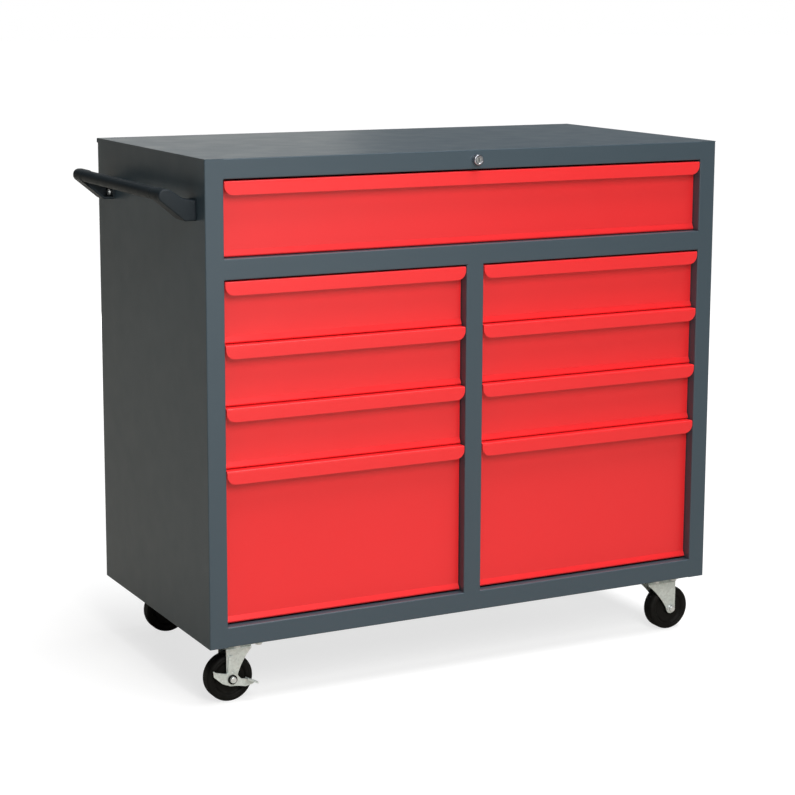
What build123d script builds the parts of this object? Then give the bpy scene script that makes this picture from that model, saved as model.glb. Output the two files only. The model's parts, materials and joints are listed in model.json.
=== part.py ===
from build123d import *
import math
import os

# Rolling tool cabinet: sheet-steel body, nine drawers, side handle, one lock, four swivel casters.
# Every piece is drawn from the body's lower front left corner: X to the right, Y to the back,
# Z up from the underside of the body. place_and_save moves it to the object's own frame, whose
# origin is on the floor under the middle of the whole object.

# ---- body
body_width = 1067.0
body_depth = 545.0
body_height = 873.0
caster_height = 115.0
sheet = 1.2
bend = 2.2
post_width = 35.0
post_return = 60.0
rear_flange = 14.0
rear_lip = 4.0
rear_lip_drop = 9.0
rail_return = 20.0
top_rail_height = 35.5
bottom_rail_height = 37.0
mid_rail_bottom = 662.0
mid_rail_top = 699.0
partition_width = 36.0
partition_end = 490.0
floor_flange = 25.0
upright_start = 440.0
upright_end = 484.0

# ---- drawers
face_recess = 21.0
face_side_gap = 1.5
face_top_gap = 3.0
row_pitch = 112.4
row_gap = 2.2
small_rows = 3
bottom_gap = 4.0
top_face_gap_above = 3.5
top_face_gap_below = 2.2
pull_drop = 24.5
pull_corner = 17.0
flare_height = 10.5
flare_out = 5.5
face_return = 14.0
tray_sheet = 1.0
tray_end = 487.0
tray_lift = 9.0
tray_headroom = 26.0
tray_hem = 7.0

# ---- slides
slide_side = 12.7
slide_height = 45.0
slide_start = 38.0
outer_end = 484.0
outer_depth = 9.5
inner_height = 33.0
inner_depth = 9.3
slide_bend = 2.0

# ---- lock and locking bar
lock_height = 854.8
collar_radius = 9.6
collar_proud = 10.0
barrel_radius = 7.8
barrel_end = 26.0
collar_round = 1.6
plug_radius = 5.6
plug_clearance = 0.06
plug_recess = 0.4
plug_tail = 4.0
shaft_socket = 10.0
keyway_width = 1.8
keyway_height = 7.2
keyway_end = 8.0
nut_radius = 12.5
nut_thickness = 3.0
shaft_radius = 4.0
crank_radius = 12.0
crank_thickness = 4.0
crank_pin_radius = 2.5
pin_slot_play = 0.7
bar_front = 494.0
bar_thickness = 3.0
bar_width = 24.0
bar_arm_reach = 48.0
bar_arm_height = 12.0
bar_foot = 120.0
bar_head_rim = 2.5
bar_lift = 2 * crank_radius * math.sin(math.pi / 4)
catch_height = 12.0
catch_engage = 9.0
catch_width = 14.0
catch_hook_start = 500.0
catch_sheet = 2.0
guide_heights = (190.0, 690.0)
guide_size = 34.0
guide_play = 0.3
guide_lead = 4.0
guide_wall = 4.0
guide_back_wall = 8.0
hanger_inset = 24.0
hanger_sheet = 3.0
hanger_shelf = 20.0
hanger_drop = 10.0

# ---- handle on the left side
grip_reach = 58.0
grip_height = 809.5
grip_radius = 11.2
grip_wall = 2.0
bracket_start = 38.0
bracket_width = 40.0
handle_rear = 492.0
bracket_skin = 4.0
spigot_length = 20.0
foot_top = 799.0
foot_bottom = 763.5
foot_depth = 20.0
screw_radius = 3.0
screw_head_radius = 6.0
screw_head_height = 4.0
screw_head_round = 1.6
screw_height = 775.0
screw_offset = 2.0
bracket_round = 3.0
spigot_clearance = 0.1

# ---- casters
kingpin_inset_x = 80.0
kingpin_inset_y = 52.0
plate_length = 86.0
plate_width = 60.0
plate_thickness = 3.0
plate_corner = 6.0
bolt_spacing_x = 42.0
bolt_spacing_y = 68.0
bolt_radius = 3.9
bolt_hole_radius = 4.2
bolt_head_radius = 6.5
bolt_head_height = 4.5
bolt_nut_height = 5.5
bolt_tail = 6.5
stiffener_width = 76.0
stiffener_thickness = 3.0
race_bottom = -11.0
race_radius = 23.0
race_round = 3.0
crown_top = -11.3
kingpin_gap = 0.3
kingpin_radius = 6.0
kingpin_head_radius = 10.0
kingpin_head_height = 4.0
fork_half_width = 20.0
fork_sheet = 2.5
fork_bend = 5.0
trail = 26.0
fork_boss_radius = 10.0
fork_waist = 2.5
plain_lead = 29.0
braked_lead = 13.0
wheel_radius = 44.45
wheel_half_width = 15.0
wheel_shoulder = 5.0
hub_half_width = 17.2
hub_radius = 12.0
rim_radius = 34.0
web_recess = 4.5
axle_radius = 4.0
running_gap = 0.08
axle_head_radius = 6.0
axle_head_height = 7.0
axle_head_round = 1.8
axle_collar_radius = 8.3
axle_collar_height = 2.5
axle_nut_radius = 7.0
axle_nut_height = 6.0
lever_gap = 0.4
lever_thickness = 2.5
lever_play = 0.3
lever_boss_radius = 13.0
pedal_length = 24.0
pedal_depth = 13.0
pedal_reach = 36.0
pedal_drop = 5.4
pedal_tilt = 26.0
braked_corners = ("front_left", "rear_right")
left_trailing_corners = ("front_left",)

# ---- worked out from the sizes above
mid_x = body_width / 2
axle_height = wheel_radius - caster_height
top_inside = body_height - sheet
rear_plane = body_depth - 2 * sheet
opening_left = post_width
opening_right = body_width - post_width
partition_left = mid_x - partition_width / 2
partition_right = mid_x + partition_width / 2
grip_end = grip_reach + grip_radius
object_left = -grip_end
object_front = -collar_proud
object_back = body_depth + rear_lip
origin_x = (object_left + body_width) / 2
origin_y = (object_front + object_back) / 2
frame_move = Location((-origin_x, -origin_y, caster_height))


# Writes one node in the object's own frame. A list is kept as separate solids in one file.
def place_and_save(name, pieces):
    solids = [s for piece in (pieces if isinstance(pieces, list) else [pieces]) for s in piece.solids()]
    moved = [frame_move * s for s in solids]
    export_step(moved[0] if len(moved) == 1 else Compound(children=moved), f"parts/{name}.step")


# A box from its low corner to its high corner.
def block(x0, x1, y0, y1, z0, z1):
    centre = Pos((x0 + x1) / 2, (y0 + y1) / 2, (z0 + z1) / 2)
    return centre * Box(x1 - x0, y1 - y0, z1 - z0)


# Folded sheet: an open path with rounded bends, thickened to one side and drawn out along a direction.
def folded(path, radius, side, plane, start, end, thickness=sheet):
    line = FilletPolyline(*path, radius=radius)
    section = make_face(offset(line, thickness, side=side).edges())
    direction = plane.z_dir
    face = Pos(*(direction * start)) * (plane * section)
    return extrude(face, amount=end - start, dir=direction)


# A cylinder along Y between two depths.
def rod_y(x, z, radius, y0, y1):
    return Pos(x, (y0 + y1) / 2, z) * Rot(90, 0, 0) * Cylinder(radius, y1 - y0)


# A cylinder along Z between two heights.
def rod_z(x, y, radius, z0, z1):
    return Pos(x, y, (z0 + z1) / 2) * Cylinder(radius, z1 - z0)


# The same piece on the other side of the body's middle plane.
def mirrored(piece):
    return mirror(piece, about=Plane.YZ.offset(mid_x))


ALONG_X = Plane.YZ
ALONG_Y = Plane(origin=(0, 0, 0), x_dir=(-1, 0, 0), z_dir=(0, 1, 0))
ALONG_Z = Plane.XY


# ---------------------------------------------------------------- body
# Outer wall, front post with its return, and the rear flange, all one folded sheet.
def side_panel():
    path = [
        (rear_flange, body_depth),
        (0, body_depth),
        (0, 0),
        (post_width, 0),
        (post_width, post_return),
    ]
    return folded(path, bend, Side.LEFT, ALONG_Z, 0, top_inside)


# Weld that fills the groove along a folded corner: an upright one between two heights.
# It fills towards the corner from the bend's axis, to the right or to the left.
def upright_weld(corner_x, towards, z0, z1):
    axis_x = corner_x - towards * bend
    x0, x1 = sorted((axis_x, corner_x))
    return block(x0, x1, 0, bend, z0, z1) - rod_z(axis_x, bend, bend, z0, z1)


# Weld along a rail's folded edge, above or below the bend's axis, where the partition meets it.
def level_weld(x0, x1, edge_z, towards):
    axis_z = edge_z - towards * bend
    z0, z1 = sorted((axis_z, edge_z))
    bead = Pos((x0 + x1) / 2, bend, axis_z) * Rot(0, 90, 0) * Cylinder(bend, x1 - x0)
    return block(x0, x1, 0, bend, z0, z1) - bead


# The two upright welds between a rail and the front posts.
def post_welds(z0, z1):
    weld = upright_weld(opening_left, 1, z0, z1)
    return weld + mirrored(weld)


# Top sheet with a front rail between the posts and a short lip hanging behind the back panel.
def top_panel():
    rail = [
        (rail_return, body_height - top_rail_height),
        (0, body_height - top_rail_height),
        (0, body_height),
        (object_back, body_height),
        (object_back, body_height - rear_lip_drop),
    ]
    middle = folded(rail, bend, Side.RIGHT, ALONG_X, opening_left, opening_right)
    over_post = folded(rail[2:], bend, Side.RIGHT, ALONG_X, 0, opening_left)
    panel = middle + over_post + mirrored(over_post)
    panel += post_welds(body_height - top_rail_height, top_inside)
    return panel - rod_y(mid_x, lock_height, barrel_radius, -sheet, 2 * sheet)


# Floor sheet with the bottom rail folded up in front and a low flange up each side wall.
def bottom_panel():
    rail = [
        (rail_return, bottom_rail_height),
        (0, bottom_rail_height),
        (0, 0),
        (rear_plane, 0),
    ]
    panel = folded(rail, bend, Side.LEFT, ALONG_X, opening_left, opening_right)
    strip = block(sheet, opening_left, post_return, rear_plane, 0, sheet)
    flange = block(sheet, 2 * sheet, post_return, rear_plane, 0, floor_flange)
    panel += strip + flange + mirrored(strip + flange)
    panel += post_welds(0, bottom_rail_height)
    for x, y in kingpins():
        for bx, by in bolt_places(x, y):
            panel -= rod_z(bx, by, bolt_hole_radius, -1, 2 * sheet)
    return panel


def back_panel():
    return block(bend, body_width - bend, rear_plane, rear_plane + sheet, 0, top_inside)


def mid_rail():
    path = [
        (2 * rail_return, mid_rail_top),
        (0, mid_rail_top),
        (0, mid_rail_bottom),
        (2 * rail_return, mid_rail_bottom),
    ]
    rail = folded(path, bend, Side.LEFT, ALONG_X, opening_left, opening_right)
    return rail + post_welds(mid_rail_bottom, mid_rail_top)


# Narrow channel that parts the two banks of drawers and carries their inner slides.
def centre_partition():
    path = [
        (partition_left, partition_end),
        (partition_left, 0),
        (partition_right, 0),
        (partition_right, partition_end),
    ]
    channel = folded(path, bend, Side.LEFT, ALONG_Z, sheet, mid_rail_bottom)
    channel -= block(0, body_width, -1, rail_return, 0, bottom_rail_height)
    weld_left = partition_left + bend
    weld_right = partition_right - bend
    channel += level_weld(weld_left, weld_right, mid_rail_bottom, -1)
    return channel + level_weld(weld_left, weld_right, bottom_rail_height, 1)


# Channels on the side walls that hold the rear ends of the slides.
def slide_upright():
    path = [
        (2 * sheet, upright_start),
        (post_width, upright_start),
        (post_width, upright_end),
        (2 * sheet, upright_end),
    ]
    return folded(path, bend, Side.LEFT, ALONG_Z, sheet, top_inside)


# Strips on the floor that spread the load of the casters.
def caster_stiffener():
    x0 = kingpin_inset_x - stiffener_width / 2
    inset = 2 * sheet + bend
    strip = block(x0, x0 + stiffener_width, inset, rear_plane, sheet, sheet + stiffener_thickness)
    for y in (kingpin_inset_y, body_depth - kingpin_inset_y):
        for bx, by in bolt_places(kingpin_inset_x, y):
            strip -= rod_z(bx, by, bolt_hole_radius, 0, 2 * stiffener_thickness)
    return strip


# ---------------------------------------------------------------- drawers
# Left, right, bottom and top of each drawer face: one wide drawer, then two banks of four.
def drawer_faces():
    faces = [
        (
            opening_left + face_side_gap,
            opening_right - face_side_gap,
            mid_rail_top + top_face_gap_below,
            body_height - top_rail_height - top_face_gap_above,
        )
    ]
    banks = [(opening_left, partition_left), (partition_right, opening_right)]
    for left, right in banks:
        top = mid_rail_bottom - face_top_gap
        for row in range(small_rows):
            low = top - row_pitch + row_gap
            faces.append((left + face_side_gap, right - face_side_gap, low, top))
            top -= row_pitch
        low = bottom_rail_height + bottom_gap
        faces.append((left + face_side_gap, right - face_side_gap, low, top))
    return faces


# Face folded from one sheet: hemmed flare at the bottom, pull folded forward and down at the top.
def drawer_front(left, right, low, top):
    path = [
        (face_recess + face_return, low),
        (face_recess - flare_out, low),
        (face_recess, low + flare_height),
        (face_recess, top - sheet),
        (sheet, top - sheet),
        (sheet, top - pull_drop),
    ]
    front = folded(path, [1.8, 3.0, bend, bend], Side.RIGHT, ALONG_X, left, right)
    pull_low = top - pull_drop
    corners = front.edges().filter_by(Axis.Y)
    corners = corners.filter_by_position(Axis.Z, pull_low - 1, pull_low + 1)
    front = fillet(corners, pull_corner)
    wing = block(
        left,
        left + sheet,
        face_recess + sheet / 2,
        face_recess + face_return,
        low + flare_height,
        top - pull_drop,
    )
    return front + wing + Pos(right - left - sheet, 0, 0) * wing


# Height range of a drawer's tray.
def tray_span(low, top):
    return low + tray_lift, top - tray_headroom


def tray_sides(left, right):
    inset = slide_side - face_side_gap
    return left + inset, right - inset


# Open sheet box with a hemmed upper edge along each side, and a hooked catch at the back.
def drawer_tray(left, right, low, top):
    x0, x1 = tray_sides(left, right)
    z0, z1 = tray_span(low, top)
    y0 = face_recess + sheet
    shell = block(x0, x1, y0, tray_end, z0, z1)
    shell = fillet(shell.edges().filter_by(Axis.Y).sort_by(Axis.Z)[:2], bend)
    hollow = block(
        x0 + tray_sheet,
        x1 - tray_sheet,
        y0 + tray_sheet,
        tray_end - tray_sheet,
        z0 + tray_sheet,
        z1 + 1,
    )
    hollow = fillet(hollow.edges().filter_by(Axis.Y).sort_by(Axis.Z)[:2], bend - tray_sheet)
    hem = block(x0, x0 + tray_hem, y0, tray_end, z1 - tray_sheet, z1)
    hem += block(x1 - tray_hem, x1, y0, tray_end, z1 - tray_sheet, z1)
    return shell - hollow + hem + tray_catch(x1, z1)


# The catch sits beside the body's middle plane, where the locking bar's arms reach.
def catch_middle(x1):
    reach = bar_arm_reach - catch_width / 2 - catch_sheet
    return mid_x - reach if x1 < mid_x else mid_x + reach


def catch_floor(z1):
    return z1 - tray_hem - catch_height


def tray_catch(x1, z1):
    x = catch_middle(x1)
    z = catch_floor(z1)
    half = catch_width / 2
    hook_end = catch_hook_start + catch_sheet
    tongue = block(x - half, x + half, tray_end - tray_sheet, hook_end, z, z + catch_sheet)
    hook = block(x - half, x + half, catch_hook_start, hook_end, z, z + catch_height)
    return tongue + hook


# ---------------------------------------------------------------- slides
# Planes the slides are screwed to: post return or partition wall, one on each side of the drawer.
def slide_planes(left, right):
    return left - face_side_gap, right + face_side_gap


def slide_middle(low, top):
    z0, z1 = tray_span(low, top)
    return (z0 + z1) / 2


def channel(x_web, x_lip, z, height, y0, y1):
    path = [
        (-x_lip, z + height / 2),
        (-x_web, z + height / 2),
        (-x_web, z - height / 2),
        (-x_lip, z - height / 2),
    ]
    side = Side.RIGHT if x_web < x_lip else Side.LEFT
    return folded(path, slide_bend, side, ALONG_Y, y0, y1)


def outer_slides(left, right, low, top):
    a, b = slide_planes(left, right)
    z = slide_middle(low, top)
    return [
        channel(a, a + outer_depth, z, slide_height, slide_start, outer_end),
        channel(b, b - outer_depth, z, slide_height, slide_start, outer_end),
    ]


def inner_slides(left, right, low, top):
    x0, x1 = tray_sides(left, right)
    z = slide_middle(low, top)
    return [
        channel(x0, x0 - inner_depth, z, inner_height, slide_start, tray_end),
        channel(x1, x1 + inner_depth, z, inner_height, slide_start, tray_end),
    ]


# ---------------------------------------------------------------- lock
# Fixed barrel with a domed collar in front of the top rail.
def lock_housing():
    collar = rod_y(mid_x, lock_height, collar_radius, -collar_proud, 0)
    collar = fillet(collar.edges().filter_by(GeomType.CIRCLE).sort_by(Axis.Y)[0], collar_round)
    barrel = rod_y(mid_x, lock_height, barrel_radius, 0, barrel_end)
    bore = rod_y(mid_x, lock_height, plug_radius + plug_clearance, -collar_proud, barrel_end)
    return collar + barrel - bore


def lock_nut():
    nut = rod_y(mid_x, lock_height, nut_radius, sheet, sheet + nut_thickness)
    return nut - rod_y(mid_x, lock_height, barrel_radius, sheet, sheet + nut_thickness)


# Plug with a keyway in its face, and the tail that the shaft is pinned into.
def lock_plug():
    face = -collar_proud + plug_recess
    tail = barrel_end + plug_tail
    plug = rod_y(mid_x, lock_height, plug_radius, face, tail)
    keyway = Box(keyway_width, keyway_end - face + 1, keyway_height)
    keyway = Pos(mid_x, (keyway_end + face - 1) / 2, lock_height) * keyway
    socket = rod_y(mid_x, lock_height, shaft_radius, barrel_end - shaft_socket, tail)
    return plug - keyway - socket


def crank_pin_place():
    reach = crank_radius * math.cos(math.pi / 4)
    return mid_x + reach, lock_height + reach


# Long rod to the back of the body with a crank and pin on its end.
def lock_shaft():
    crank_end = bar_front - 1.0
    crank_start = crank_end - crank_thickness
    pin_x, pin_z = crank_pin_place()
    shaft = rod_y(mid_x, lock_height, shaft_radius, barrel_end - shaft_socket, crank_end)
    crank = rod_y(mid_x, lock_height, 1.8 * shaft_radius, crank_start, crank_end)
    arm = Box(crank_radius, crank_thickness, 2 * shaft_radius)
    half = crank_radius / 2 * math.cos(math.pi / 4)
    arm = Pos(mid_x + half, (crank_start + crank_end) / 2, lock_height + half) * Rot(0, -45, 0) * arm
    tip = rod_y(pin_x, pin_z, shaft_radius, crank_start, crank_end)
    pin = rod_y(pin_x, pin_z, crank_pin_radius, crank_end, bar_front + bar_thickness + 1.5)
    return shaft + crank + arm + tip + pin


# Lower edge of the bar's arm above a drawer's catch, with the bar raised.
def arm_floor(z1):
    return catch_floor(z1) + catch_height - catch_engage + bar_lift


# Flat bar with an arm at each drawer level and a cross slot for the crank pin.
def lock_bar():
    y0, y1 = bar_front, bar_front + bar_thickness
    pin_x, pin_z = crank_pin_place()
    play = crank_pin_radius + pin_slot_play
    head = pin_z + play + bar_head_rim
    bar = block(mid_x - bar_width / 2, mid_x + bar_width / 2, y0, y1, bar_foot, head)
    levels = sorted({tray_span(low, top)[1] for left, right, low, top in drawer_faces()})
    for z1 in levels:
        z = arm_floor(z1)
        bar += block(mid_x - bar_arm_reach, mid_x + bar_arm_reach, y0, y1, z, z + bar_arm_height)
    travel_x = crank_radius - crank_radius * math.cos(math.pi / 4)
    slot = block(pin_x - play, pin_x + travel_x + play, y0 - 1, y1 + 1, pin_z - play, pin_z + play)
    return bar - slot


# Blocks on the back panel that guide the bar, and a hanger under the top that carries the shaft.
def lock_supports():
    pieces = []
    half = guide_size / 2
    x0, x1 = mid_x - half, mid_x + half
    for z in guide_heights:
        guide = block(x0, x1, bar_front - guide_lead, rear_plane, z, z + guide_size)
        slot = block(
            mid_x - bar_width / 2 - guide_play,
            mid_x + bar_width / 2 + guide_play,
            bar_front - guide_play,
            bar_front + bar_thickness + guide_play,
            z - 1,
            z + guide_size + 1,
        )
        hollow = block(
            x0 + guide_wall,
            x1 - guide_wall,
            bar_front + bar_thickness + guide_back_wall,
            rear_plane + 1,
            z + guide_wall,
            z + guide_size - guide_wall,
        )
        pieces.append(guide - slot - hollow)
    y0 = bar_front - hanger_inset
    y1 = y0 + hanger_sheet
    hanger = block(x0, x1, y0, y1, lock_height - hanger_drop, top_inside)
    hanger += block(x0, x1, y0 - hanger_shelf, y1, top_inside - hanger_sheet, top_inside)
    hole = rod_y(mid_x, lock_height, shaft_radius + running_gap, y0 - 1, y1 + 1)
    return pieces + [hanger - hole]


# ---------------------------------------------------------------- handle
# Side view of a bracket: round head at the grip, arm falling to a deep foot at the wall.
def bracket_outline(inset):
    head = Pos(-grip_reach, grip_height) * Circle(grip_radius - inset)
    rise = grip_radius - inset
    arm = make_face(
        Polyline(
            (-grip_reach + rise * 0.5, grip_height + rise * 0.866),
            (-foot_depth - 2, foot_top + 3 - inset),
            (-inset, foot_top - inset),
            (-inset, foot_bottom + inset),
            (-foot_depth + inset * 0.5, foot_bottom + inset),
            (-grip_reach - rise * 0.8, grip_height - rise * 0.6),
            close=True,
        )
    )
    return head + arm


def extrude_outline(outline, y0, y1):
    stand = Plane(origin=(0, y0, 0), x_dir=(1, 0, 0), z_dir=(0, -1, 0))
    return extrude(stand * outline, amount=-(y1 - y0))


# Cast end of the handle, open on the side that faces the other bracket.
def bracket_shape():
    y0, y1 = bracket_start, bracket_start + bracket_width
    solid = extrude_outline(bracket_outline(0), y0, y1)
    outer_rim = solid.faces().sort_by(Axis.Y)[0].edges()
    solid = fillet(outer_rim, bracket_round)
    pocket = extrude_outline(bracket_outline(bracket_skin), y0 + bracket_skin, y1 + 1)
    head_y0 = y0 + bracket_skin
    head = rod_y(-grip_reach, grip_height, grip_radius - spigot_clearance, head_y0, y1)
    spigot = rod_y(-grip_reach, grip_height, grip_radius - grip_wall, head_y0, y1 + spigot_length)
    bolt = Rot(0, 90, 0) * Cylinder(screw_radius, 3 * bracket_skin)
    hole = Pos(0, (y0 + y1) / 2 + screw_offset, screw_height) * bolt
    return solid - pocket + head + spigot - hole


def handle_brackets():
    front = bracket_shape()
    middle = (bracket_start + handle_rear) / 2
    return [front, mirror(front, about=Plane.XZ.offset(-middle))]


def handle_grip():
    y0 = bracket_start + bracket_width
    y1 = handle_rear - bracket_width
    tube = rod_y(-grip_reach, grip_height, grip_radius, y0, y1)
    return tube - rod_y(-grip_reach, grip_height, grip_radius - grip_wall, y0, y1)


# Pan-head screws through the bracket feet and the side wall.
def handle_screws():
    screws = []
    middle = bracket_start + bracket_width / 2 + screw_offset
    head_x = -bracket_skin - screw_head_height / 2
    for y in (middle, bracket_start + handle_rear - middle):
        shank = Pos(1, y, screw_height) * Rot(0, 90, 0) * Cylinder(screw_radius, 2 * bracket_skin + 2)
        head = Rot(0, 90, 0) * Cylinder(screw_head_radius, screw_head_height)
        head = Pos(head_x, y, screw_height) * head
        head = fillet(head.edges().filter_by(GeomType.CIRCLE).sort_by(Axis.X)[0], screw_head_round)
        screws.append(shank + head)
    return screws


# ---------------------------------------------------------------- casters
def kingpins():
    xs = (kingpin_inset_x, body_width - kingpin_inset_x)
    ys = (kingpin_inset_y, body_depth - kingpin_inset_y)
    return [(x, y) for y in ys for x in xs]


def bolt_places(x, y):
    spread_x, spread_y = bolt_spacing_x / 2, bolt_spacing_y / 2
    return [(x + i * spread_x, y + j * spread_y) for i in (-1, 1) for j in (-1, 1)]


# Mounting plate with the upper ball race pressed down from it.
def caster_plate(x, y):
    half_x, half_y = plate_width / 2, plate_length / 2
    plate = block(x - half_x, x + half_x, y - half_y, y + half_y, -plate_thickness, 0)
    plate = fillet(plate.edges().filter_by(Axis.Z), plate_corner)
    race = rod_z(x, y, race_radius, race_bottom, -plate_thickness)
    race = fillet(race.edges().filter_by(GeomType.CIRCLE).sort_by(Axis.Z)[0], race_round)
    plate += race
    plate -= rod_z(x, y, kingpin_radius, race_bottom - 1, 1)
    for bx, by in bolt_places(x, y):
        plate -= rod_z(bx, by, bolt_hole_radius, -2 * plate_thickness, 1)
    return plate


# Rivet that the fork turns on; its head carries the fork from below.
def caster_kingpin(x, y):
    crown_bottom = crown_top - fork_sheet
    head_top = crown_bottom - kingpin_gap
    pin = rod_z(x, y, kingpin_radius, head_top, 0)
    return pin + rod_z(x, y, kingpin_head_radius, head_top - kingpin_head_height, head_top)


# Hexagon-head bolt up through plate, floor and stiffener, with its nut.
def caster_bolt(x, y):
    top = sheet + stiffener_thickness
    head_low = -plate_thickness - bolt_head_height
    hexagon = RegularPolygon(bolt_head_radius, 6)
    head = Pos(x, y, head_low) * extrude(hexagon, amount=bolt_head_height)
    shank = rod_z(x, y, bolt_radius, -plate_thickness, top + bolt_tail)
    nut = Pos(x, y, top) * extrude(hexagon, amount=bolt_nut_height)
    return head + shank + nut


# Pressed fork: an upturned channel cut to a leg that narrows to the axle boss.
# It trails towards +X from a kingpin at the origin.
def fork_shape(lead):
    low = axle_height - fork_boss_radius
    path = [
        (-fork_half_width, low),
        (-fork_half_width, crown_top),
        (fork_half_width, crown_top),
        (fork_half_width, low),
    ]
    reach = trail + fork_boss_radius
    blank = folded(path, fork_bend, Side.RIGHT, ALONG_X, -lead, reach, fork_sheet)
    tip_x = trail - fork_boss_radius
    chord_mid = Vector((tip_x - lead) / 2 + fork_waist, (axle_height + crown_top) / 2)
    corner_z = crown_top - fork_bend - 1
    leg = make_face(
        [
            Line((-lead, crown_top + 1), (reach, crown_top + 1)),
            Line((reach, crown_top + 1), (reach, axle_height)),
            ThreePointArc((reach, axle_height), (trail, low), (tip_x, axle_height)),
            ThreePointArc((tip_x, axle_height), (chord_mid.X, chord_mid.Y), (-lead, corner_z)),
            Line((-lead, corner_z), (-lead, crown_top + 1)),
        ]
    )
    fork = blank & extrude_outline(leg, -fork_half_width, fork_half_width)
    fork -= rod_y(trail, axle_height, axle_radius, -2 * fork_half_width, 2 * fork_half_width)
    return fork - rod_z(0, 0, kingpin_radius + running_gap, crown_top - 2 * fork_sheet, crown_top + 1)


# Solid wheel turned about Y: rounded tread, recessed web and a raised hub.
def wheel_shape():
    face = wheel_half_width
    web = face - web_recess
    half = [
        (axle_radius + running_gap, 0),
        (axle_radius + running_gap, hub_half_width),
        (hub_radius - 1, hub_half_width),
        (hub_radius, web),
        (rim_radius - 3, web),
        (rim_radius, face),
        (wheel_radius, face),
        (wheel_radius, 0),
    ]
    outline = make_face(Polyline(*half, close=True))
    full = outline + mirror(outline, about=Plane.XZ)
    wheel = revolve(full, Axis.Y)
    rims = wheel.edges().filter_by(GeomType.CIRCLE)
    shoulders = [e for e in rims if abs(e.radius - wheel_radius) < 0.01 and abs(e.center().Y) > 1]
    wheel = fillet(shoulders, wheel_shoulder)
    return Pos(trail, 0, axle_height) * wheel


# Axle bolt: round head on a collar in front and a hexagon nut behind. A braked one is longer.
def axle_shape(braked):
    cover = lever_gap + lever_thickness + lever_play if braked else 0.0
    head_face = -fork_half_width - cover
    nut_face = fork_half_width
    shank = rod_y(trail, axle_height, axle_radius, head_face, nut_face + axle_nut_height + 1)
    head = rod_y(trail, axle_height, axle_head_radius, head_face - axle_head_height, head_face)
    head = fillet(head.edges().filter_by(GeomType.CIRCLE).sort_by(Axis.Y)[0], axle_head_round)
    collar = rod_y(trail, axle_height, axle_collar_radius, head_face - axle_collar_height, head_face)
    back = Plane(origin=(trail, nut_face, axle_height), x_dir=(1, 0, 0), z_dir=(0, 1, 0))
    nut = extrude(back * RegularPolygon(axle_nut_radius, 6), amount=axle_nut_height)
    return shank + head + collar + nut


# Foot brake: a rocker on the axle with a pad arm, a spring finger and a pedal folded outwards.
def lever_shape():
    pad_arm = [(2, -12.5), (13, -9), (20, -5.5), (35.5, 8.5), (37, 20), (30, 16), (13, 12)]
    finger = [(8.5, 12), (6.5, 44), (-2.5, 44), (1, 12)]
    pedal_arm = [(-8, 9), (-18, -1.5), (-31, -3), (-46, -10.5), (-38, -15), (-26, -17), (-12, -14)]
    outline = make_face(Polyline(*(pad_arm + finger + pedal_arm), close=True))
    outline += Circle(lever_boss_radius)
    y1 = -fork_half_width - lever_gap
    y0 = y1 - lever_thickness
    lever = Pos(trail, 0, axle_height) * extrude_outline(outline, y0, y1)
    pedal_y = y0 - pedal_depth / 2 + 1
    pedal = Rot(0, -pedal_tilt, 0) * Box(pedal_length, pedal_depth, lever_thickness)
    lever += Pos(trail - pedal_reach, pedal_y, axle_height - pedal_drop) * pedal
    return lever - rod_y(trail, axle_height, axle_radius + running_gap, y0 - 1, y1 + 1)


# Puts a caster piece at its kingpin, with its trail to the left or to the right.
def at_kingpin(piece, x, y, trails_left):
    if trails_left:
        piece = mirror(piece, about=Plane.YZ)
    return Pos(x, y, 0) * piece


# ---------------------------------------------------------------- writing every node
os.makedirs("parts", exist_ok=True)

screws = handle_screws()
left_wall = side_panel()
for screw in screws:
    middle = screw.bounding_box().center()
    left_wall -= Pos(0, middle.Y, screw_height) * Rot(0, 90, 0) * Cylinder(screw_radius, 3 * sheet)
place_and_save("left_side_panel", left_wall)
place_and_save("right_side_panel", mirrored(side_panel()))
place_and_save("top_panel", top_panel())
place_and_save("bottom_panel", bottom_panel())
place_and_save("back_panel", back_panel())
place_and_save("mid_rail", mid_rail())
place_and_save("centre_partition", centre_partition())
stiffeners = [slide_upright(), caster_stiffener()]
place_and_save("body_stiffeners", stiffeners + [mirrored(piece) for piece in stiffeners])

outer_members = []
for number, (left, right, low, top) in enumerate(drawer_faces(), start=1):
    place_and_save(f"drawer_front_{number}", drawer_front(left, right, low, top))
    place_and_save(f"drawer_tray_{number}", drawer_tray(left, right, low, top))
    place_and_save(f"drawer_runners_{number}", inner_slides(left, right, low, top))
    outer_members += outer_slides(left, right, low, top)
place_and_save("slide_outer_members", outer_members)

place_and_save("lock_housing", lock_housing())
place_and_save("lock_plug", lock_plug())
place_and_save("lock_shaft", lock_shaft())
place_and_save("lock_bar", lock_bar())
place_and_save("lock_fixings", lock_supports() + [lock_nut()])

place_and_save("handle_grip", handle_grip())
place_and_save("handle_brackets", handle_brackets())
place_and_save("handle_screws", screws)

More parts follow.
